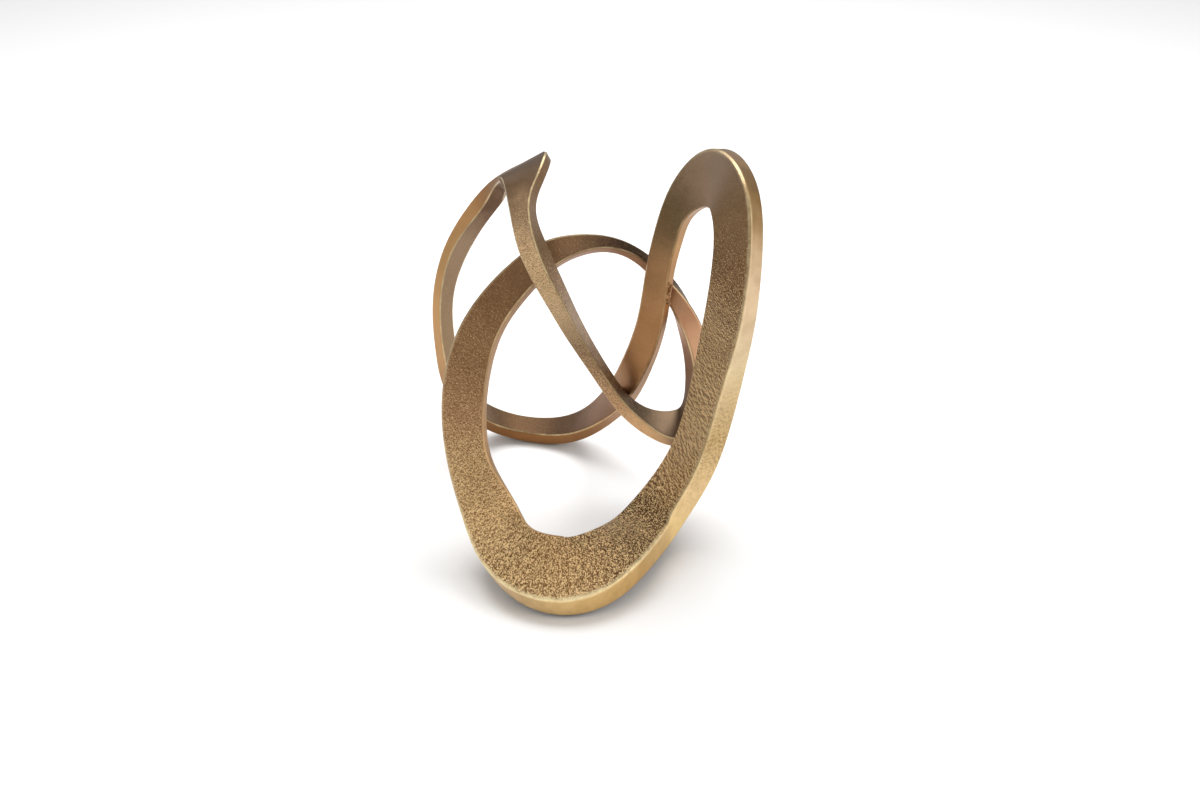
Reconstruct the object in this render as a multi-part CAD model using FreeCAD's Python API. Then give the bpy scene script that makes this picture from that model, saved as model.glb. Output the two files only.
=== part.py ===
import FreeCAD, Part
import math
import os

os.makedirs("parts", exist_ok=True)

# Spans that the path of the band follows, in millimetres
loop_width = 200.0
loop_depth = 200.0
loop_height = 260.0

# Section of the band
band_breadth = 30.0
band_thickness = 12.0
edge_chamfer = 1.2

# Straight pins inside the joints
pin_diameter = 4.0
pin_length = 16.0
pin_end_chamfer = 0.5
bore_clearance = 0.05
bore_end_gap = 0.2

# Welds where two strands cross
weld_diameter = 9.0

# Round feet under the two low bends
foot_diameter = 9.0
foot_clearance = 1.5

# Stations along the closed band, from the inner leg over the top right, down the
# front, round the back arch, the lower right bend, the tall bend and the rear ring.
# Each has the shares of width, depth and height, the turn and lean of the broad
# face in degrees, and the shares of breadth and thickness.
station_shares = [
    ("joint_leg", (0.215, 0.085, 0.775), (-37, 9), (0.60, 0.80)),
    ("leg_top", (0.240, 0.085, 0.840), (-41, 6), (0.64, 0.85)),
    ("crown_rear", (0.352, -0.035, 0.965), (-66, 10), (1.20, 0.90)),
    ("crown_front", (0.402, -0.225, 0.935), (-52, 24), (1.00, 1.05)),
    ("front_upper", (0.400, -0.290, 0.815), (-48, 6), (1.00, 1.10)),
    ("front_middle", (0.379, -0.200, 0.580), (-57, -10), (1.00, 1.42)),
    ("front_lower", (0.337, -0.100, 0.322), (-60, 5), (1.00, 1.50)),
    ("bottom_right", (0.277, -0.065, 0.165), (-58, 35), (1.10, 1.45)),
    ("bottom_inner", (0.181, -0.113, 0.062), (-52, 68), (1.17, 1.45)),
    ("bottom_middle", (0.053, -0.328, 0.0645), (60, 87), (1.43, 1.52)),
    ("bottom_front", (-0.109, -0.437, 0.060), (8, 75), (1.74, 1.40)),
    ("bottom_left", (-0.264, -0.392, 0.090), (-20, 58), (1.34, 1.15)),
    ("rise_start", (-0.351, -0.229, 0.125), (-12, 49), (1.19, 1.10)),
    ("rise_low", (-0.420, -0.115, 0.215), (-8, 28), (0.94, 1.00)),
    ("joint_rise", (-0.440, -0.070, 0.310), (-8, 14), (0.92, 0.97)),
    ("rise_middle", (-0.415, -0.055, 0.485), (-17, 3), (0.92, 0.90)),
    ("rise_high", (-0.345, -0.060, 0.620), (-23, 14), (0.80, 0.90)),
    ("arch_start", (-0.240, -0.020, 0.710), (-13, 36), (0.70, 0.85)),
    ("arch_top", (-0.175, -0.005, 0.750), (3, 43), (0.62, 0.80)),
    ("joint_arch", (-0.055, 0.055, 0.765), (32, 48), (0.40, 0.73)),
    ("arch_end", (0.060, 0.110, 0.740), (47, 42), (0.27, 0.62)),
    ("arch_fall", (0.195, 0.135, 0.650), (71, 43), (0.28, 0.75)),
    ("lobe_top", (0.286, 0.080, 0.540), (114, 23), (0.40, 1.10)),
    ("lobe_side", (0.325, 0.055, 0.375), (114, 0), (0.56, 1.10)),
    ("lobe_low", (0.275, 0.085, 0.240), (109, -43), (0.88, 0.90)),
    ("lobe_return", (0.150, 0.120, 0.245), (-125, -70), (0.54, 0.85)),
    ("joint_lobe", (0.020, 0.135, 0.355), (-111, -28), (0.36, 0.75)),
    ("climb_low", (-0.070, 0.085, 0.500), (-105, -8), (0.38, 0.88)),
    ("climb_middle", (-0.145, -0.085, 0.695), (-106, -12), (0.46, 1.02)),
    ("climb_high", (-0.210, -0.100, 0.825), (-109, -18), (0.48, 1.10)),
    ("peak_front", (-0.238, 0.000, 0.912), (-98, -22), (0.34, 1.50)),
    ("peak_top", (-0.232, 0.110, 0.942), (-89, -28), (0.26, 2.80)),
    ("peak_rear", (-0.252, 0.185, 0.908), (-60, -24), (0.27, 2.35)),
    ("peak_fall", (-0.305, 0.295, 0.848), (-29, -21), (0.32, 1.25)),
    ("fall_high", (-0.368, 0.335, 0.785), (24, -24), (0.42, 1.00)),
    ("joint_fall", (-0.468, 0.320, 0.670), (35, -8), (0.48, 0.85)),
    ("fall_middle", (-0.522, 0.285, 0.545), (42, -3), (0.41, 0.77)),
    ("fall_low", (-0.525, 0.295, 0.380), (52, -8), (0.44, 0.77)),
    ("ring_start", (-0.500, 0.415, 0.198), (78, 13), (0.54, 0.77)),
    ("ring_left", (-0.340, 0.545, 0.035), (76, 61), (0.66, 0.75)),
    ("ring_right", (-0.150, 0.515, 0.030), (-82, 63), (0.72, 0.83)),
    ("ring_end", (0.025, 0.380, 0.165), (-77, 15), (0.76, 0.77)),
    ("leg_low", (0.120, 0.140, 0.395), (-47, -6), (0.66, 0.80)),
    ("leg_middle", (0.170, 0.060, 0.570), (-29, 1), (0.60, 0.75)),
    ("leg_high", (0.195, 0.070, 0.710), (-34, 11), (0.58, 0.77)),
]
steps_per_station = 3

# Cast lengths of the band, each from one joint to the next
length_names = ["front_loop", "back_arch", "right_lobe", "peak_loop", "rear_ring"]
joint_names = ["joint_leg", "joint_rise", "joint_arch", "joint_lobe", "joint_fall"]


def facing_of(turn, lean):
    turn = math.radians(turn)
    lean = math.radians(lean)
    level = math.cos(lean)
    return FreeCAD.Vector(math.sin(turn) * level, -math.cos(turn) * level, math.sin(lean))


def closed_curve(points, knots):
    curve = Part.BSplineCurve()
    curve.interpolate(Points=points, PeriodicFlag=True, Parameters=knots)
    return curve


# Middle, facing and size of the band as closed curves on one parameter
names = [name for name, place, facing, section in station_shares]
places = []
facings = []
sections = []
for name, place, facing, section in station_shares:
    height = place[2] * loop_height + foot_clearance
    places.append(FreeCAD.Vector(place[0] * loop_width, place[1] * loop_depth, height))
    facings.append(facing_of(facing[0], facing[1]))
    sections.append(FreeCAD.Vector(section[0] * band_breadth, section[1] * band_thickness, 0))
knots = [0.0]
for index, place in enumerate(places):
    following = places[(index + 1) % len(places)]
    knots.append(knots[-1] + place.distanceToPoint(following))
path = closed_curve(places, knots)
facing_path = closed_curve(facings, knots)
section_path = closed_curve(sections, knots)


def frame_at(u):
    middle, along = path.getD1(u)
    along.normalize()
    facing = facing_path.value(u)
    facing = facing - along * facing.dot(along)
    facing.normalize()
    return middle, along, facing, along.cross(facing)


def corners_at(u):
    middle, along, facing, side = frame_at(u)
    size = section_path.value(u)
    half_breadth = size.x / 2
    half_thickness = size.y / 2
    flat_breadth = half_breadth - edge_chamfer
    flat_thickness = half_thickness - edge_chamfer
    outline = [
        (flat_breadth, half_thickness),
        (-flat_breadth, half_thickness),
        (-half_breadth, flat_thickness),
        (-half_breadth, -flat_thickness),
        (-flat_breadth, -half_thickness),
        (flat_breadth, -half_thickness),
        (half_breadth, -flat_thickness),
        (half_breadth, flat_thickness),
    ]
    return [middle + side * across + facing * out for across, out in outline]


# Eight closed edges of the chamfered section
steps = []
for index in range(len(names)):
    span = knots[index + 1] - knots[index]
    for step in range(steps_per_station):
        steps.append(knots[index] + span * step / steps_per_station)
rings = [corners_at(u) for u in steps]
edge_knots = steps + [knots[-1]]
edges = [closed_curve([ring[k] for ring in rings], edge_knots) for k in range(8)]


def strip_between(first, second, start, end):
    first = first.copy()
    second = second.copy()
    first.segment(start, end)
    second.segment(start, end)
    surface = Part.BSplineSurface()
    poles = [first.getPoles(), second.getPoles()]
    degree = first.Degree
    surface.buildFromPolesMultsKnots(
        poles, [2, 2], first.getMultiplicities(), [0, 1], first.getKnots(), False, False, 1, degree
    )
    return surface.toShape()


def band_length(start, end):
    strips = [strip_between(edges[k], edges[(k + 1) % 8], start, end) for k in range(8)]
    caps = []
    for u in (start, end):
        ring = [edge.value(u) for edge in edges]
        caps.append(Part.Face(Part.makePolygon(ring + [ring[0]])))
    shell = Part.makeShell(strips + caps)
    shell.sewShape()
    solid = Part.makeSolid(shell)
    if solid.Volume < 0:
        solid.reverse()
    return solid


# Joint pin and its bore
def joint_rod(u, radius, length, end_chamfer):
    middle, along, facing, side = frame_at(u)
    start = middle - along * (length / 2)
    rod = Part.makeCylinder(radius, length, start, along)
    if end_chamfer:
        rims = [edge for edge in rod.Edges if isinstance(edge.Curve, Part.Circle)]
        rod = rod.makeChamfer(end_chamfer, rims)
    return rod


joint_knots = [knots[names.index(name)] for name in joint_names]
pins = []
bores = []
for u in joint_knots:
    pins.append(joint_rod(u, pin_diameter / 2, pin_length, pin_end_chamfer))
    bore_length = pin_length + 2 * bore_end_gap
    bores.append(joint_rod(u, pin_diameter / 2 + bore_clearance, bore_length, 0))

lengths = []
limits = joint_knots + [knots[-1]]
for index in range(len(length_names)):
    length = band_length(limits[index], limits[index + 1])
    length = length.cut(bores[index])
    length = length.cut(bores[(index + 1) % len(bores)])
    lengths.append(length)


def along_station(station, share):
    index = names.index(station)
    return knots[index] + (knots[index + 1] - knots[index]) * share


def largest_solid(shape):
    return max(shape.Solids, key=lambda solid: solid.Volume)


# Each weld runs between the middles of two strands, given by station and share of
# the way to the next one, and stops at the strands' faces
weld_place_shares = [
    ("weld_arch", "arch_start", 0.47, "climb_middle", 0.25),
    ("weld_leg", "arch_end", 0.95, "leg_middle", 0.60),
    ("weld_ring", "lobe_return", 0.60, "ring_end", 0.45),
]
welds = []
for name, first_station, first_share, second_station, second_share in weld_place_shares:
    start = path.value(along_station(first_station, first_share))
    reach = path.value(along_station(second_station, second_share)) - start
    weld = Part.makeCylinder(weld_diameter / 2, reach.Length, start, reach)
    for length in lengths:
        if weld.BoundBox.intersect(length.BoundBox):
            weld = weld.cut(length)
    welds.append(largest_solid(weld))

# Feet under the band, from the ground up to its underside
foot_place_shares = [
    ("foot_front_left", "bottom_front", 0.80),
    ("foot_front_right", "bottom_inner", 0.25),
    ("foot_rear_left", "ring_left", 0.35),
    ("foot_rear_right", "ring_left", 0.90),
]
feet = []
for name, station, share in foot_place_shares:
    above = path.value(along_station(station, share))
    foot = Part.makeCylinder(foot_diameter / 2, above.z, FreeCAD.Vector(above.x, above.y, 0))
    for length in lengths:
        if foot.BoundBox.intersect(length.BoundBox):
            foot = foot.cut(length)
    feet.append(largest_solid(foot))

pieces = list(zip(length_names, lengths))
pieces += zip(["pin_" + name.split("_")[1] for name in joint_names], pins)
pieces += zip([shares[0] for shares in weld_place_shares], welds)
pieces += zip([shares[0] for shares in foot_place_shares], feet)

# The origin goes to the middle of the outline, on the ground
solids = [largest_solid(shape) for name, shape in pieces]
extent = Part.makeCompound(solids).optimalBoundingBox(False)
centring = FreeCAD.Vector(-extent.Center.x, -extent.Center.y, 0)
print("centring", centring, "height", extent.ZMax)
for (name, shape), solid in zip(pieces, solids):
    solid = solid.translated(centring)
    print(name, round(solid.Volume), solid.isValid())
    solid.exportStep("parts/" + name + ".step")
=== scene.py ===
import math

import bmesh
import bpy
import numpy as np
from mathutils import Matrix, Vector


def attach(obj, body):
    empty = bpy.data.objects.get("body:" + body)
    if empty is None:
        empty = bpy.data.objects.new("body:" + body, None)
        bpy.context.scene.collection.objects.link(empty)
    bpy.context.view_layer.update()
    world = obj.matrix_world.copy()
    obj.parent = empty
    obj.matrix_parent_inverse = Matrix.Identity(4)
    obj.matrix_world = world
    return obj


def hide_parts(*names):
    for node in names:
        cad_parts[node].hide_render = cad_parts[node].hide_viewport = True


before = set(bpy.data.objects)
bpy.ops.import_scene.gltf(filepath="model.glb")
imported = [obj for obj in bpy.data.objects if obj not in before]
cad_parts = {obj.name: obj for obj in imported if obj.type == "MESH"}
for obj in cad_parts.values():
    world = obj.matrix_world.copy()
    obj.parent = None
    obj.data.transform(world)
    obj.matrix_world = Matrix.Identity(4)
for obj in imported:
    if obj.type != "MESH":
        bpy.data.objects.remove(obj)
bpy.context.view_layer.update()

print("frame loaded:", len(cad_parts), "nodes")

# The band's path: name, shares of width, depth and height, turn and lean of the broad
# face in degrees, shares of breadth and thickness
stationShares = [
    ("joint_leg", (0.215, 0.085, 0.775), (-37, 9), (0.60, 0.80)),
    ("leg_top", (0.240, 0.085, 0.840), (-41, 6), (0.64, 0.85)),
    ("crown_rear", (0.352, -0.035, 0.965), (-66, 10), (1.20, 0.90)),
    ("crown_front", (0.402, -0.225, 0.935), (-52, 24), (1.00, 1.05)),
    ("front_upper", (0.400, -0.290, 0.815), (-48, 6), (1.00, 1.10)),
    ("front_middle", (0.379, -0.200, 0.580), (-57, -10), (1.00, 1.42)),
    ("front_lower", (0.337, -0.100, 0.322), (-60, 5), (1.00, 1.50)),
    ("bottom_right", (0.277, -0.065, 0.165), (-58, 35), (1.10, 1.45)),
    ("bottom_inner", (0.181, -0.113, 0.062), (-52, 68), (1.17, 1.45)),
    ("bottom_middle", (0.053, -0.328, 0.0645), (60, 87), (1.43, 1.52)),
    ("bottom_front", (-0.109, -0.437, 0.060), (8, 75), (1.74, 1.40)),
    ("bottom_left", (-0.264, -0.392, 0.090), (-20, 58), (1.34, 1.15)),
    ("rise_start", (-0.351, -0.229, 0.125), (-12, 49), (1.19, 1.10)),
    ("rise_low", (-0.420, -0.115, 0.215), (-8, 28), (0.94, 1.00)),
    ("joint_rise", (-0.440, -0.070, 0.310), (-8, 14), (0.92, 0.97)),
    ("rise_middle", (-0.415, -0.055, 0.485), (-17, 3), (0.92, 0.90)),
    ("rise_high", (-0.345, -0.060, 0.620), (-23, 14), (0.80, 0.90)),
    ("arch_start", (-0.240, -0.020, 0.710), (-13, 36), (0.70, 0.85)),
    ("arch_top", (-0.175, -0.005, 0.750), (3, 43), (0.62, 0.80)),
    ("joint_arch", (-0.055, 0.055, 0.765), (32, 48), (0.40, 0.73)),
    ("arch_end", (0.060, 0.110, 0.740), (47, 42), (0.27, 0.62)),
    ("arch_fall", (0.195, 0.135, 0.650), (71, 43), (0.28, 0.75)),
    ("lobe_top", (0.286, 0.080, 0.540), (114, 23), (0.40, 1.10)),
    ("lobe_side", (0.325, 0.055, 0.375), (114, 0), (0.56, 1.10)),
    ("lobe_low", (0.275, 0.085, 0.240), (109, -43), (0.88, 0.90)),
    ("lobe_return", (0.150, 0.120, 0.245), (-125, -70), (0.54, 0.85)),
    ("joint_lobe", (0.020, 0.135, 0.355), (-111, -28), (0.36, 0.75)),
    ("climb_low", (-0.070, 0.085, 0.500), (-105, -8), (0.38, 0.88)),
    ("climb_middle", (-0.145, -0.085, 0.695), (-106, -12), (0.46, 1.02)),
    ("climb_high", (-0.210, -0.100, 0.825), (-109, -18), (0.48, 1.10)),
    ("peak_front", (-0.238, 0.000, 0.912), (-98, -22), (0.34, 1.50)),
    ("peak_top", (-0.232, 0.110, 0.942), (-89, -28), (0.26, 2.80)),
    ("peak_rear", (-0.252, 0.185, 0.908), (-60, -24), (0.27, 2.35)),
    ("peak_fall", (-0.305, 0.295, 0.848), (-29, -21), (0.32, 1.25)),
    ("fall_high", (-0.368, 0.335, 0.785), (24, -24), (0.42, 1.00)),
    ("joint_fall", (-0.468, 0.320, 0.670), (35, -8), (0.48, 0.85)),
    ("fall_middle", (-0.522, 0.285, 0.545), (42, -3), (0.41, 0.77)),
    ("fall_low", (-0.525, 0.295, 0.380), (52, -8), (0.44, 0.77)),
    ("ring_start", (-0.500, 0.415, 0.198), (78, 13), (0.54, 0.77)),
    ("ring_left", (-0.340, 0.545, 0.035), (76, 61), (0.66, 0.75)),
    ("ring_right", (-0.150, 0.515, 0.030), (-82, 63), (0.72, 0.83)),
    ("ring_end", (0.025, 0.380, 0.165), (-77, 15), (0.76, 0.77)),
    ("leg_low", (0.120, 0.140, 0.395), (-47, -6), (0.66, 0.80)),
    ("leg_middle", (0.170, 0.060, 0.570), (-29, 1), (0.60, 0.75)),
    ("leg_high", (0.195, 0.070, 0.710), (-34, 11), (0.58, 0.77)),
]

band = {
    "width": 0.200,
    "depth": 0.200,
    "height": 0.260,
    "breadth": 0.030,
    "thickness": 0.012,
    "chamfer": 0.0012,
    "footClearance": 0.0015,
    "moveRight": 0.00878,  # the path's own middle to the middle of the outline
    "moveBack": -0.00265,
    "ringGap": 0.0016,  # length between two rings of the mesh
    "edgeRounding": 0.00035,
    "roundingSegments": 2,
    "sharpAngle": 25.0,  # edges along the band that bend more than this are rounded
}

lengths = {  # piece: joint at its start, joint at its end, CAD node, material slot
    "frontLoop": ("joint_leg", "joint_rise", "front_loop", "front_brass"),
    "backArch": ("joint_rise", "joint_arch", "back_arch", "arch_brass"),
    "rightLobe": ("joint_arch", "joint_lobe", "right_lobe", "lobe_brass"),
    "peakLoop": ("joint_lobe", "joint_fall", "peak_loop", "peak_brass"),
    "rearRing": ("joint_fall", "joint_leg", "rear_ring", "ring_brass"),
}


class ClosedCurve:  # smooth periodic curve through values at given knots
    def __init__(self, knots, values):
        self.knots = np.array(knots)
        self.values = np.array(values, float)
        n = len(values)
        gaps = np.diff(self.knots)
        matrix = np.zeros((n, n))
        right = np.zeros((n, self.values.shape[1]))
        for i in range(n):
            before, after = gaps[i - 1], gaps[i]
            previous, following = self.values[i - 1], self.values[(i + 1) % n]
            matrix[i, i - 1] += before
            matrix[i, i] += 2 * (before + after)
            matrix[i, (i + 1) % n] += after
            right[i] = 6 * ((following - self.values[i]) / after - (self.values[i] - previous) / before)
        self.bends = np.linalg.solve(matrix, right)

    def at(self, u, slope=False):
        u = u % self.knots[-1]
        i = min(int(np.searchsorted(self.knots, u, "right")) - 1, len(self.values) - 1)
        j = (i + 1) % len(self.values)
        gap = self.knots[i + 1] - self.knots[i]
        b = (u - self.knots[i]) / gap
        a = 1 - b
        if slope:
            straight = (self.values[j] - self.values[i]) / gap
            return straight + ((3 * b * b - 1) * self.bends[j] - (3 * a * a - 1) * self.bends[i]) * gap / 6
        curved = (a ** 3 - a) * self.bends[i] + (b ** 3 - b) * self.bends[j]
        return a * self.values[i] + b * self.values[j] + curved * gap * gap / 6


def facingOf(turn, lean):
    turn, lean = math.radians(turn), math.radians(lean)
    return (math.sin(turn) * math.cos(lean), -math.cos(turn) * math.cos(lean), math.sin(lean))


names = [row[0] for row in stationShares]
places = [
    (x * band["width"], y * band["depth"], z * band["height"] + band["footClearance"])
    for _, (x, y, z), _, _ in stationShares
]
facings = [facingOf(*row[2]) for row in stationShares]
sizes = [(b * band["breadth"], t * band["thickness"]) for _, _, _, (b, t) in stationShares]
knots = [0.0]
for i, place in enumerate(places):
    knots.append(knots[-1] + math.dist(place, places[(i + 1) % len(places)]))
path = ClosedCurve(knots, places)
facingPath = ClosedCurve(knots, facings)
sizePath = ClosedCurve(knots, sizes)
bandLength = knots[-1]


def wayTo(station, share=0.0):  # way along the band to a station, or a share past it
    i = names.index(station)
    return knots[i] + (knots[i + 1] - knots[i]) * share


def ringAt(u):  # the corners of the chamfered section at u, two to each face
    middle = Vector(path.at(u)) + Vector((band["moveRight"], band["moveBack"], 0))
    along = Vector(path.at(u, slope=True)).normalized()
    facing = Vector(facingPath.at(u))
    facing = (facing - along * facing.dot(along)).normalized()
    side = along.cross(facing)
    breadth, thickness = sizePath.at(u)
    b, t = breadth / 2, thickness / 2
    flatB, flatT = b - band["chamfer"], t - band["chamfer"]
    broad, outer = [(flatB, t), (-flatB, t)], [(-b, flatT), (-b, -flatT)]
    back, inner = [(-flatB, -t), (flatB, -t)], [(b, -flatT), (b, flatT)]
    return [middle + side * across + facing * out for across, out in broad + outer + back + inner]


stripCount = len(ringAt(0.0))  # four faces and the chamfers between them


def bandPiece(name, start, end):
    # a section face is pushed along the path, ring by ring; the map holds the share of
    # the way round the band, and the share of the way round the section by strips
    bm = bmesh.new()
    mapLayer = bm.loops.layers.uv.new("bandMap")
    count = max(2, round((end - start) / band["ringGap"]))
    steps = [start + (end - start) * i / count for i in range(count + 1)]
    corners = [bm.verts.new(p) for p in ringAt(steps[0])]
    face = bm.faces.new(corners)
    for i in range(1, count + 1):
        grown = bmesh.ops.extrude_face_region(bm, geom=[face], use_keep_orig=(i == 1))
        newVerts = {g for g in grown["geom"] if isinstance(g, bmesh.types.BMVert)}
        following = []
        for corner in corners:
            reached = [e.other_vert(corner) for e in corner.link_edges]
            following += [vert for vert in reached if vert in newVerts]
        for vert, place in zip(following, ringAt(steps[i])):
            vert.co = place
        for k in range(stripCount):
            m = (k + 1) % stripCount
            strip = bm.faces.get((corners[k], corners[m], following[m], following[k]))
            for loop in strip.loops:
                u = steps[i] if loop.vert in following else steps[i - 1]
                far = loop.vert in (corners[m], following[m])
                loop[mapLayer].uv = (u / bandLength, (k + far) / stripCount)
        face = [g for g in grown["geom"] if isinstance(g, bmesh.types.BMFace)][0]
        corners = following
    bmesh.ops.recalc_face_normals(bm, faces=bm.faces)
    weight = bm.edges.layers.float.new("bevel_weight_edge")
    for f in bm.faces:
        f.smooth = len(f.verts) < stripCount
    for e in bm.edges:
        if any(len(f.verts) == stripCount for f in e.link_faces):
            e.smooth = False
        elif e.calc_face_angle(0) > math.radians(band["sharpAngle"]):
            e[weight] = 1.0
    mesh = bpy.data.meshes.new(name)
    bm.to_mesh(mesh)
    bm.free()
    piece = bpy.data.objects.new(name, mesh)
    bpy.context.collection.objects.link(piece)
    rounding = piece.modifiers.new("edgeRounding", "BEVEL")
    rounding.width = band["edgeRounding"]
    rounding.segments = band["roundingSegments"]
    rounding.limit_method = "WEIGHT"
    rounding.harden_normals = True
    return piece


pieces = {}
for name, (first, last, node, slot) in lengths.items():
    end = bandLength if last == names[0] else wayTo(last)
    piece = bandPiece(name, wayTo(first), end)
    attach(piece, "root")
    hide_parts(node)
    pieces[name] = piece
print("band lengths made:", len(pieces))


class Wire:  # a shader socket that takes part in sums
    def __init__(self, shader, socket):
        self.shader = shader
        self.socket = socket

    def maths(self, kind, first, second):
        return self.shader.add("ShaderNodeMath", {"operation": kind}, {0: first, 1: second})["Value"]

    def __add__(self, other):
        return self.maths("ADD", self, other)

    def __radd__(self, other):
        return self.maths("ADD", other, self)

    def __sub__(self, other):
        return self.maths("SUBTRACT", self, other)

    def __rsub__(self, other):
        return self.maths("SUBTRACT", other, self)

    def __mul__(self, other):
        return self.maths("MULTIPLY", self, other)

    def __rmul__(self, other):
        return self.maths("MULTIPLY", other, self)


screen = {
    "brightest": 255,
    "gamma": 2.2,
}


def toLinear(colour):  # colour as seen, 0 to 255, to the renderer's own values
    return tuple((c / screen["brightest"]) ** screen["gamma"] for c in colour)


class Shader:
    def __init__(self, name):
        self.material = bpy.data.materials.new(name)
        self.material.use_nodes = True
        self.nodes = self.material.node_tree.nodes
        self.links = self.material.node_tree.links
        self.nodes.clear()

    def add(self, kind, settings=None, values=None):
        node = self.nodes.new(kind)
        for key, value in (settings or {}).items():
            if key == "stops":
                ramp = node.color_ramp
                while len(ramp.elements) < len(value):
                    ramp.elements.new(0.5)
                for element, (position, colour) in zip(ramp.elements, value):
                    element.position = position
                    colour = colour if isinstance(colour, tuple) else (colour, colour, colour)
                    element.color = (*colour, 1)
            else:
                setattr(node, key, value)
        for key, value in (values or {}).items():
            socket = node.inputs[key]
            if isinstance(value, Wire):
                self.links.new(value.socket, socket)
            elif isinstance(value, tuple) and socket.type == "RGBA":
                socket.default_value = (*value, 1)
            else:
                socket.default_value = value
        keyed = node.bl_idname == "ShaderNodeMix"
        return {s.identifier if keyed else s.name: Wire(self, s) for s in node.outputs}

    def ramp(self, factor, stops):
        return self.add("ShaderNodeValToRGB", {"stops": stops}, {"Fac": factor})["Color"]

    def rampAlong(self, u, rows, convert=float):  # a value by place along the band
        return self.ramp(u, roundBand(rows, convert))

    def vector(self, kind, place, other):
        return self.add("ShaderNodeVectorMath", {"operation": kind}, {0: place, 1: other})["Vector"]

    def noise(self, place, scale, detail, roughness):
        return self.add("ShaderNodeTexNoise", {}, {
            "Vector": place, "Scale": scale, "Detail": detail, "Roughness": roughness})["Fac"]

    def noisePair(self, place, pattern, shift):  # a noise here and a little to one side, for its slope
        return self.noise(place, *pattern), self.noise(self.vector("ADD", place, shift), *pattern)

    def mix(self, factor, a, b, blend="MIX"):
        return self.add("ShaderNodeMix", {"data_type": "RGBA", "blend_type": blend}, {
            0: factor, 6: a, 7: b})["Result_Color"]

    def tinted(self, tone, tint):
        return self.mix(1.0, tone, tint, "MULTIPLY")

    def bump(self, height, strength, distance):
        return self.add("ShaderNodeBump", {}, {
            "Height": height, "Strength": strength, "Distance": distance})["Normal"]

    def finish(self, tone, metallic, roughness, normal):
        surface = self.add("ShaderNodeBsdfPrincipled", {}, {
            "Base Color": tone, "Metallic": metallic, "Roughness": roughness, "Normal": normal})["BSDF"]
        self.add("ShaderNodeOutputMaterial", {}, {"Surface": surface})
        return self.material


def shareTo(station):
    return wayTo(station) / bandLength


def roundBand(rows, convert):  # ramp stops along the band from (station, value) rows
    stops = sorted((shareTo(station), convert(value)) for station, value in rows)
    if stops[0][0] > 0:
        stops.insert(0, (0.0, stops[-1][1]))
    return stops + [(1.0, stops[0][1])]


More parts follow.
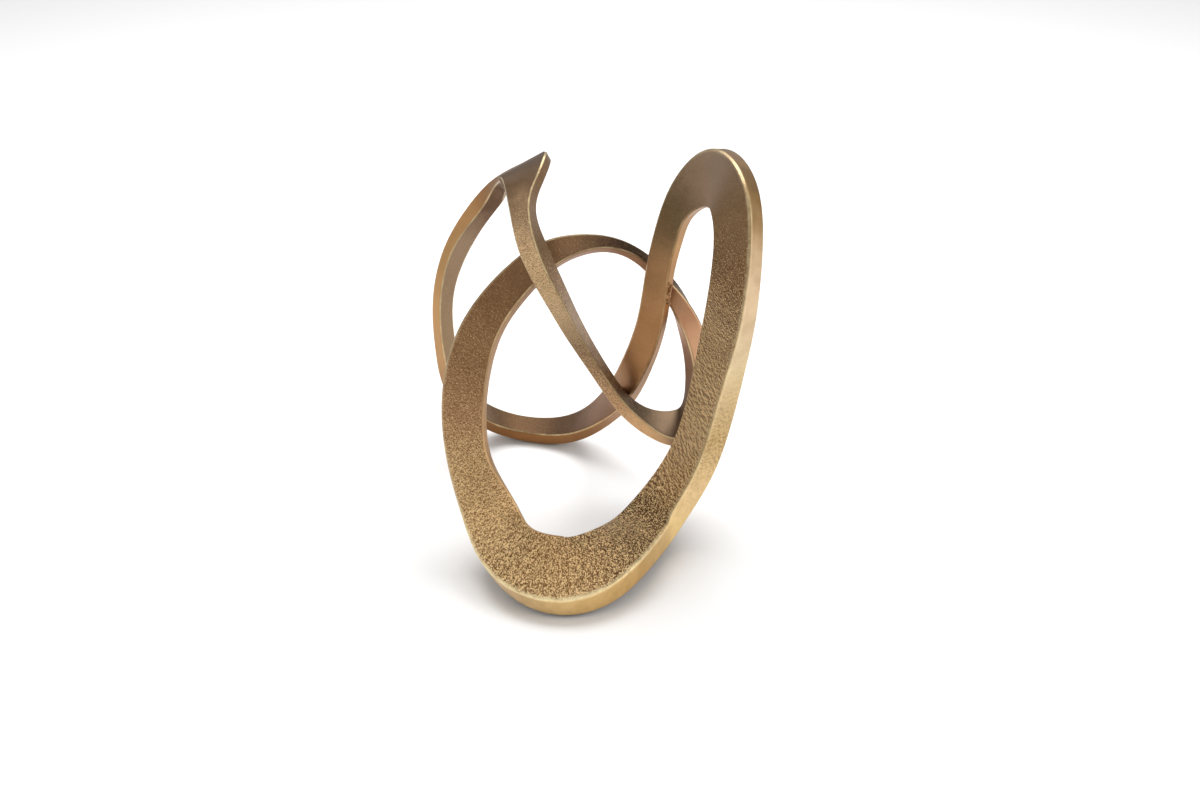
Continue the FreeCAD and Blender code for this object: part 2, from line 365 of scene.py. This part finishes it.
castFinish = {  # tones are as seen, 0 to 255, and rows go by place along the band; the four face tones mix the cast's own patina with painted light and shade
    "broadTones": [  # the broad face towards the viewer on the front loop and the leg
        ("joint_leg", (139, 111, 78)), ("leg_top", (114, 94, 66)), ("crown_rear", (150, 124, 100)),
        ("crown_front", (128, 101, 72)), ("front_upper", (112, 81, 53)), ("front_middle", (166, 122, 76)),
        ("front_lower", (250, 212, 156)), ("bottom_right", (214, 166, 112)),
        ("bottom_inner", (102, 70, 44)), ("bottom_middle", (124, 88, 58)),
        ("bottom_front", (202, 160, 112)), ("bottom_left", (182, 144, 100)),
        ("rise_start", (232, 190, 138)), ("rise_low", (238, 194, 142)), ("joint_rise", (171, 130, 94)),
        ("rise_middle", (132, 97, 65)), ("arch_start", (126, 94, 65)), ("joint_arch", (110, 84, 60)),
        ("arch_end", (70, 53, 41)), ("joint_lobe", (160, 124, 88)), ("peak_rear", (120, 98, 80)),
        ("fall_high", (116, 88, 66)),
        ("joint_fall", (178, 152, 126)), ("fall_low", (177, 151, 117)), ("ring_left", (112, 84, 58)),
        ("ring_right", (94, 70, 50)), ("ring_end", (130, 92, 62)), ("leg_low", (172, 126, 82)),
        ("leg_middle", (164, 120, 80)), ("leg_high", (172, 132, 92)),
    ],
    "outerTones": [  # the narrow face on the outside of the front loop
        ("joint_leg", (128, 98, 66)), ("crown_rear", (130, 108, 88)), ("crown_front", (158, 124, 78)),
        ("front_upper", (214, 185, 150)), ("front_middle", (221, 197, 153)),
        ("front_lower", (192, 160, 106)), ("bottom_right", (238, 206, 154)),
        ("bottom_inner", (240, 208, 146)), ("bottom_middle", (212, 170, 100)),
        ("bottom_front", (232, 196, 134)), ("bottom_left", (238, 208, 162)), ("rise_low", (170, 132, 92)),
        ("rise_high", (120, 90, 64)), ("joint_arch", (104, 80, 58)), ("arch_fall", (140, 106, 80)),
        ("lobe_side", (168, 128, 98)), ("lobe_low", (120, 100, 84)), ("joint_lobe", (146, 116, 90)),
        ("climb_middle", (144, 114, 86)), ("climb_high", (120, 94, 66)), ("peak_top", (118, 96, 76)),
        ("peak_rear", (118, 98, 82)), ("fall_high", (140, 118, 96)), ("fall_middle", (146, 124, 104)),
        ("ring_start", (120, 94, 72)), ("ring_right", (116, 90, 68)), ("leg_high", (116, 86, 58)),
    ],
    "backTones": [  # the broad face turned away, and the right side of the diagonal
        ("joint_leg", (136, 106, 72)), ("crown_front", (144, 112, 78)), ("front_lower", (160, 124, 84)),
        ("bottom_front", (120, 92, 62)), ("joint_rise", (150, 116, 80)), ("arch_start", (132, 100, 70)),
        ("lobe_top", (180, 136, 104)), ("lobe_low", (92, 76, 60)), ("lobe_return", (100, 82, 64)),
        ("joint_lobe", (150, 124, 98)), ("climb_low", (160, 128, 98)), ("climb_middle", (146, 112, 82)),
        ("climb_high", (136, 106, 74)), ("peak_fall", (140, 112, 88)), ("fall_middle", (160, 126, 86)),
        ("ring_left", (122, 84, 50)), ("leg_high", (146, 112, 76)),
    ],
    "innerTones": [  # the narrow face on the inside, the diagonal's left side and the spike
        ("joint_leg", (176, 134, 88)), ("crown_rear", (140, 112, 86)), ("front_upper", (150, 118, 84)),
        ("front_lower", (120, 92, 64)), ("bottom_front", (106, 82, 58)), ("joint_rise", (208, 168, 120)),
        ("rise_high", (184, 144, 104)), ("joint_arch", (158, 118, 88)), ("arch_fall", (170, 128, 96)),
        ("lobe_top", (224, 172, 134)), ("lobe_low", (150, 118, 88)), ("lobe_return", (240, 194, 142)),
        ("joint_lobe", (204, 160, 122)), ("climb_low", (142, 106, 74)), ("climb_middle", (250, 214, 168)),
        ("climb_high", (210, 174, 134)), ("peak_front", (88, 68, 48)), ("peak_top", (100, 83, 68)),
        ("peak_rear", (126, 108, 92)), ("fall_high", (176, 130, 88)), ("joint_fall", (196, 152, 100)),
        ("fall_low", (180, 138, 92)), ("ring_left", (124, 84, 50)), ("ring_end", (156, 112, 68)),
        ("leg_high", (168, 124, 80)),
    ],
    "grainShares": [  # how rough the cast skin is
        ("joint_leg", 0.10), ("crown_front", 0.10), ("front_upper", 0.28), ("front_middle", 1.15),
        ("front_lower", 1.80), ("bottom_right", 1.35), ("bottom_inner", 0.80), ("bottom_middle", 1.00),
        ("bottom_front", 1.00), ("rise_low", 0.95), ("joint_rise", 0.34), ("arch_start", 0.10),
        ("lobe_low", 0.10), ("joint_lobe", 0.75), ("climb_middle", 1.35), ("climb_high", 0.45),
        ("peak_fall", 0.10), ("leg_high", 0.08),
    ],
    "crumpleShares": [  # how much of the roughness is coarse crumpled skin
        ("joint_leg", 0.30), ("front_upper", 0.40), ("front_middle", 0.80), ("front_lower", 0.90),
        ("bottom_right", 0.70), ("bottom_inner", 0.40), ("bottom_front", 0.40), ("bottom_left", 0.60),
        ("rise_low", 0.95), ("joint_rise", 0.55), ("leg_high", 0.30),
    ],
    "ridgeShares": [  # the folded skin on the right
        ("front_upper", 0.00), ("front_middle", 0.25), ("front_lower", 1.30), ("bottom_right", 0.65),
        ("bottom_inner", 0.05), ("bottom_middle", 0.08), ("rise_start", 0.20), ("rise_low", 0.06),
        ("rise_high", 0.00),
    ],
    "diagonalShares": [  # where the narrow face towards the viewer is as rough as a broad one
        ("lobe_low", 0.0), ("joint_lobe", 1.0), ("climb_high", 1.0), ("peak_front", 0.0),
    ],
    "outerWearAndHighlightShares": [  # how worn the outer edge is, and how bright its painted highlight
        ("joint_leg", 0.15), ("crown_front", 0.35), ("front_middle", 0.25), ("front_lower", 0.35),
        ("bottom_inner", 0.50), ("bottom_front", 0.95), ("bottom_left", 1.00), ("rise_start", 0.80),
        ("joint_rise", 0.20), ("arch_fall", 0.30), ("peak_front", 0.30), ("ring_left", 0.40),
    ],
    "innerWearAndHighlightShares": [  # the same for the inner edge
        ("joint_leg", 0.20), ("crown_front", 0.15), ("front_middle", 0.10), ("bottom_front", 0.04),
        ("rise_low", 0.06), ("rise_high", 0.40), ("arch_fall", 0.35), ("climb_high", 0.50),
        ("peak_front", 0.35), ("fall_middle", 0.50), ("ring_left", 0.45), ("leg_high", 0.25),
    ],
    "cloud": (42.0, 3.0, 0.55),  # scale, detail and roughness of a noise, here and below
    "patch": (90.0, 3.0, 0.60),
    "edgeWearAndHighlightBreakup": (150.0, 3.0, 0.60),
    "grain": (1650.0, 2.0, 0.50),
    "grainStretch": (1.0, 0.5, 1.0),
    "grainStep": (0.00008, -0.00022, 0.00034),  # to the point beside, towards the light, for the slope of the painted relief shading
    "crumple": (540.0, 2.0, 0.50),
    "crumpleStep": (-0.00070, 0.00010, 0.0),
    "ridge": (330.0, 2.0, 0.50),
    "ridgeStretch": (1.0, 0.62, 1.0),
    "ridgeStep": (-0.00120, 0.00030, 0.0),
    "mapLength": 1.8,  # the band's map, unrolled, for the crumpled and folded skin
    "mapBreadth": 0.28,
    "mapWaver": 0.006,
    "toneWaver": 0.02,  # how far the tones stray along the band
    "onBroad": 0.85,  # share of the roughness on each face
    "onDiagonal": 0.65,
    "onBack": 0.20,
    "everywhere": 0.06,
    "ridgeHeight": 2.4,
    "grainHeight": 0.70,
    "grainSlope": 1.35,
    "heightInSlope": 0.12,
    "smoothHeight": 0.02,
    "bumpStrength": 1.0,
    "bumpDistance": 0.0030,
    "litStops": [(0.015, 0.0), (0.055, 0.32), (0.120, 1.0)],  # slopes that face the light get a painted highlight
    "paintedShadeStops": [(0.000, 0.0), (0.100, 1.0)],  # slopes that face away from the light get painted shade
    "patchStops": [(0.44, 0.0), (0.62, 1.0)],
    "stainStops": [(0.34, 1.0), (0.52, 0.0)],
    "edgeWearAndHighlightBreakupStops": [(0.38, 0.45), (0.60, 1.0)],
    "outerEdgeStops": [(0.1205, 0.0), (0.1250, 1.0), (0.250, 1.0), (0.270, 0.0)],
    "innerEdgeStops": [(0.88, 0.0), (0.92, 1.0), (0.955, 1.0), (0.995, 0.0)],
    "backEdgeStops": [
        (0.38, 0.0), (0.42, 1.0), (0.455, 1.0), (0.495, 0.0),
        (0.63, 0.0), (0.67, 1.0), (0.705, 1.0), (0.745, 0.0),
    ],
    "faceSoftness": 0.09,  # how far a face's tone reaches over the chamfer
    # the painted highlight on slopes that face the light, and how far it goes
    "paintedGlint": (255, 219, 156),
    "paintedGlintShare": 0.92,
    # the painted shade on slopes that face away from the light
    "paintedShadeTint": (0.42, 0.34, 0.26),
    "patchTint": (0.72, 0.66, 0.56),
    "patchShare": 0.30,
    "stainTint": (0.55, 0.50, 0.44),
    "stainShare": 0.22,
    # the colour of worn edges and of their painted highlight
    "edge": (255, 234, 182),
    "backEdgeShare": 0.55,
    "roughness": 0.42,
    "roughnessSpread": 0.18,
    "edgePolish": 0.08,
    "metallic": 0.85,
    "paintedGlintMetallic": -0.75,
}


def castBrass(name):
    shader = Shader(name)
    place = shader.add("ShaderNodeTexCoord")["Object"]
    bandMap = shader.add("ShaderNodeUVMap", {"uv_map": "bandMap"})["UV"]
    split = shader.add("ShaderNodeSeparateXYZ", {}, {0: bandMap})
    u, v = split["X"], split["Y"]
    cloud = shader.noise(place, *castFinish["cloud"])

    def onFace(first, last):  # 1 on the strips first to last, soft over the chamfers
        low, high = first / stripCount, last / stripCount
        before, after = max(low - castFinish["faceSoftness"], 0), high + castFinish["faceSoftness"]
        return shader.ramp(v, [(before, 0.0 if low else 1.0), (low, 1.0), (high, 1.0), (after, 0.0)])

    onBroad, onOuter, onBack, onInner = onFace(0, 1), onFace(2, 3), onFace(4, 5), onFace(6, 7)

    # tone of each face by place: the cast's own patina with painted light and shade in it
    def faceTone(key):
        return shader.rampAlong((cloud - 0.5) * castFinish["toneWaver"] + u, castFinish[key], toLinear)

    tone = shader.mix(onOuter, faceTone("broadTones"), faceTone("outerTones"))
    tone = shader.mix(onBack, tone, faceTone("backTones"))
    tone = shader.mix(onInner, tone, faceTone("innerTones"))

    # three layers of roughness: fine grain, crumpled skin and folds, for the bumps and for the painted
    # relief shading
    stretched = shader.vector("MULTIPLY", place, castFinish["grainStretch"])
    grain, grainBeside = shader.noisePair(stretched, castFinish["grain"], castFinish["grainStep"])
    mapAlong = cloud * castFinish["mapWaver"] + u * castFinish["mapLength"]
    mapAcross = v * castFinish["mapBreadth"]
    unrolled = shader.add("ShaderNodeCombineXYZ", {}, {0: mapAlong, 1: mapAcross})["Vector"]
    crumple, crumpleBeside = shader.noisePair(unrolled, castFinish["crumple"], castFinish["crumpleStep"])
    folded = shader.vector("MULTIPLY", unrolled, castFinish["ridgeStretch"])
    ridge, ridgeBeside = shader.noisePair(folded, castFinish["ridge"], castFinish["ridgeStep"])
    onDiagonal = shader.rampAlong(u, castFinish["diagonalShares"])
    onFaces = (onBroad * castFinish["onBroad"] + onDiagonal * onInner * castFinish["onDiagonal"]
               + onBack * castFinish["onBack"] + castFinish["everywhere"])
    depth = onFaces * shader.rampAlong(u, castFinish["grainShares"])
    coarse = shader.rampAlong(u, castFinish["crumpleShares"])
    folds = shader.rampAlong(u, castFinish["ridgeShares"]) * castFinish["ridgeHeight"]
    height = ((grain - 0.5) * castFinish["grainHeight"] + (crumple - 0.5) * coarse
              + (ridge - 0.5) * folds) * depth
    # the relief's slope towards the light, which sets the painted highlights and painted shade
    slope = ((grain - grainBeside) * castFinish["grainSlope"] + (crumple - crumpleBeside) * coarse
             + (ridge - ridgeBeside) * folds + height * castFinish["heightInSlope"]) * depth

    # darker patches on the outer face, painted highlights and painted shade on the slopes of the relief,
    # then stains
    patch = shader.ramp(shader.noise(place, *castFinish["patch"]), castFinish["patchStops"])
    patchTone = shader.tinted(tone, castFinish["patchTint"])
    tone = shader.mix(patch * onOuter * castFinish["patchShare"], tone, patchTone)
    paintedShadeTone = shader.tinted(tone, castFinish["paintedShadeTint"])
    lit = shader.ramp(slope, castFinish["litStops"])
    paintedGlintTone = shader.mix(castFinish["paintedGlintShare"], tone, toLinear(castFinish["paintedGlint"]))
    tone = shader.mix(lit, tone, paintedGlintTone)
    tone = shader.mix(shader.ramp(slope * -1.0, castFinish["paintedShadeStops"]), tone, paintedShadeTone)
    stain = shader.ramp(cloud, castFinish["stainStops"])
    stainTone = shader.tinted(tone, castFinish["stainTint"])
    tone = shader.mix(stain * castFinish["stainShare"], tone, stainTone)

    # edges worn bright, with a painted highlight along the chamfers
    outerWearAndHighlight = shader.rampAlong(u, castFinish["outerWearAndHighlightShares"])
    innerWearAndHighlight = shader.rampAlong(u, castFinish["innerWearAndHighlightShares"])
    outerEdge = shader.ramp(v, castFinish["outerEdgeStops"]) * outerWearAndHighlight
    innerEdge = shader.ramp(v, castFinish["innerEdgeStops"]) * innerWearAndHighlight
    backEdges = shader.ramp(v, castFinish["backEdgeStops"]) * castFinish["backEdgeShare"]
    edges = backEdges + (outerEdge + innerEdge)
    # noise that breaks up both the wear and the painted highlight on the edges
    edgeWearAndHighlightBreakup = shader.ramp(shader.noise(place, *castFinish["edgeWearAndHighlightBreakup"]), castFinish["edgeWearAndHighlightBreakupStops"])
    tone = shader.mix(edges * edgeWearAndHighlightBreakup, tone, toLinear(castFinish["edge"]))

    height = height + grain * castFinish["smoothHeight"]
    normal = shader.bump(height, castFinish["bumpStrength"], castFinish["bumpDistance"])
    smoothest = castFinish["roughness"] - castFinish["roughnessSpread"] / 2
    roughness = grain * castFinish["roughnessSpread"] + smoothest - edges * castFinish["edgePolish"]
    # less metallic under the painted highlights, so they show brighter
    metallic = lit * castFinish["paintedGlintMetallic"] + castFinish["metallic"]
    return shader.finish(tone, metallic, roughness, normal)


for name, piece in pieces.items():
    piece.data.materials.append(castBrass(name + "Brass"))
print("band finishes made")

smallFinishes = {  # kind of piece: material, tones, noise, metallic, roughness
    "weld": ("weldMetal", [(0.30, (120, 86, 56)), (0.55, (166, 124, 86)), (0.75, (206, 168, 126))],
             (520.0, 5.0, 0.6), 0.8, 0.42),
    "pin": ("pinRod", [(0.30, (176, 146, 84)), (0.70, (206, 178, 112))], (900.0, 5.0, 0.6), 1.0, 0.22),
    "foot": ("footRubber", [(0.30, (20, 18, 17)), (0.70, (38, 35, 33))], (700.0, 5.0, 0.6), 0.0, 0.70),
}
smallRelief = {
    "bumpStrength": 0.8,
    "bumpDistance": 0.0006,
    "roughnessSpread": 0.2,
}


def smallFinish(name, tones, noise, metallic, roughness):
    shader = Shader(name)
    grain = shader.noise(shader.add("ShaderNodeTexCoord")["Object"], *noise)
    tone = shader.ramp(grain, [(at, toLinear(colour)) for at, colour in tones])
    normal = shader.bump(grain, smallRelief["bumpStrength"], smallRelief["bumpDistance"])
    return shader.finish(tone, metallic, grain * smallRelief["roughnessSpread"] + roughness, normal)


finishes = {kind: smallFinish(*row) for kind, row in smallFinishes.items()}

bead = {
    "first": 0.34,  # shares of the way from leg_middle to leg_high
    "last": 0.72,
    "count": 7,
    "roundness": 3,  # subdivisions of each bead
    "radius": 0.0014,
    "radiusShare": 0.2,  # how much the beads differ
    "radiusTurn": 3.1,
    "sway": 0.3,  # share of the leg's narrow face
    "swayTurn": 2.3,
    "lift": 0.0006,
    "liftTurn": 1.7,
}


def weldBeads(name):  # run weld metal down the narrow face of the leg, where a strand touches it
    bm = bmesh.new()
    for i in range(bead["count"]):
        share = bead["first"] + (bead["last"] - bead["first"]) * i / (bead["count"] - 1)
        low, high = ringAt(wayTo("leg_middle", share))[-2:]
        middle = low.lerp(high, 0.5 + bead["sway"] * math.sin(bead["swayTurn"] * i))
        lift = bead["lift"] * math.cos(bead["liftTurn"] * i)
        radius = bead["radius"] * (1 + bead["radiusShare"] * math.sin(bead["radiusTurn"] * i))
        made = bmesh.ops.create_icosphere(bm, subdivisions=bead["roundness"], radius=radius)
        bmesh.ops.translate(bm, verts=made["verts"], vec=middle + Vector((lift, 0, lift / 2)))
    for f in bm.faces:
        f.smooth = True
    mesh = bpy.data.meshes.new(name)
    bm.to_mesh(mesh)
    bm.free()
    beads = bpy.data.objects.new(name, mesh)
    bpy.context.collection.objects.link(beads)
    return beads


weldBead = weldBeads("weldBead")
weldBead.data.materials.append(finishes["weld"])
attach(weldBead, "root")

for name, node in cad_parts.items():
    kind = name.split("_")[0]
    if kind in finishes:
        node.data.materials.clear()
        node.data.materials.append(finishes[kind])
print("small pieces finished")

studio = {
    "floorSize": 12.0,
    "floorColour": (0.91, 0.91, 0.91),
    "worldColour": (1.0, 1.0, 1.0),
    "worldStrength": 0.50,
    "eyeDistance": 1.02,
    "eyeRise": 30.0,  # degrees above the level
    "aimBack": -0.078,
    "aimHeight": 0.139304,
    "lens": 51.0,
    "sensorWidth": 36.0,
    "nearest": 0.05,
    "farthest": 50.0,
}

lamps = {  # name: place, point it looks at, width and height, watts
    "overhead": ((-0.03, 0.55, 1.40), (0, 0, 0.10), (1.4, 1.0), 22.0),
    "rightBox": ((1.5, -0.5, 0.8), (0, 0, 0.12), (0.9, 1.2), 8.0),
    "leftBox": ((-1.5, -0.7, 0.8), (0, 0, 0.12), (0.8, 1.1), 4.0),
}


def whiteFloor(name):
    bm = bmesh.new()
    bmesh.ops.create_grid(bm, x_segments=1, y_segments=1, size=studio["floorSize"] / 2)
    mesh = bpy.data.meshes.new(name)
    bm.to_mesh(mesh)
    bm.free()
    sheet = bpy.data.objects.new(name, mesh)
    bpy.context.collection.objects.link(sheet)
    shader = Shader("paperWhite")
    surface = shader.add("ShaderNodeBsdfDiffuse", {}, {"Color": studio["floorColour"]})["BSDF"]
    shader.add("ShaderNodeOutputMaterial", {}, {"Surface": surface})
    sheet.data.materials.append(shader.material)
    return sheet


def softLight(name, place, target, size, power):
    light = bpy.data.lights.new(name, "AREA")
    light.shape = "RECTANGLE"
    light.size, light.size_y = size
    light.energy = power
    lamp = bpy.data.objects.new(name, light)
    lamp.location = place
    lamp.rotation_euler = (Vector(target) - Vector(place)).to_track_quat("-Z", "Y").to_euler()
    bpy.context.collection.objects.link(lamp)


whiteFloor("floor")
for name, row in lamps.items():
    softLight(name, *row)

world = bpy.data.worlds.new("whiteRoom")
bpy.context.scene.world = world
world.use_nodes = True
background = world.node_tree.nodes["Background"]
background.inputs["Color"].default_value = (*studio["worldColour"], 1)
background.inputs["Strength"].default_value = studio["worldStrength"]

camera = bpy.data.cameras.new("camera")
camera.lens = studio["lens"]
camera.sensor_width = studio["sensorWidth"]
camera.clip_start, camera.clip_end = studio["nearest"], studio["farthest"]
eye = bpy.data.objects.new("camera", camera)
rise = math.radians(studio["eyeRise"])
eye.location = (
    band["moveRight"],
    band["moveBack"] + studio["aimBack"] - studio["eyeDistance"] * math.cos(rise),
    studio["aimHeight"] + studio["eyeDistance"] * math.sin(rise),
)
eye.rotation_euler = (math.radians(90) - rise, 0, 0)
bpy.context.collection.objects.link(eye)
bpy.context.scene.camera = eye
bpy.context.scene.view_settings.view_transform = "Standard"
print("studio set")
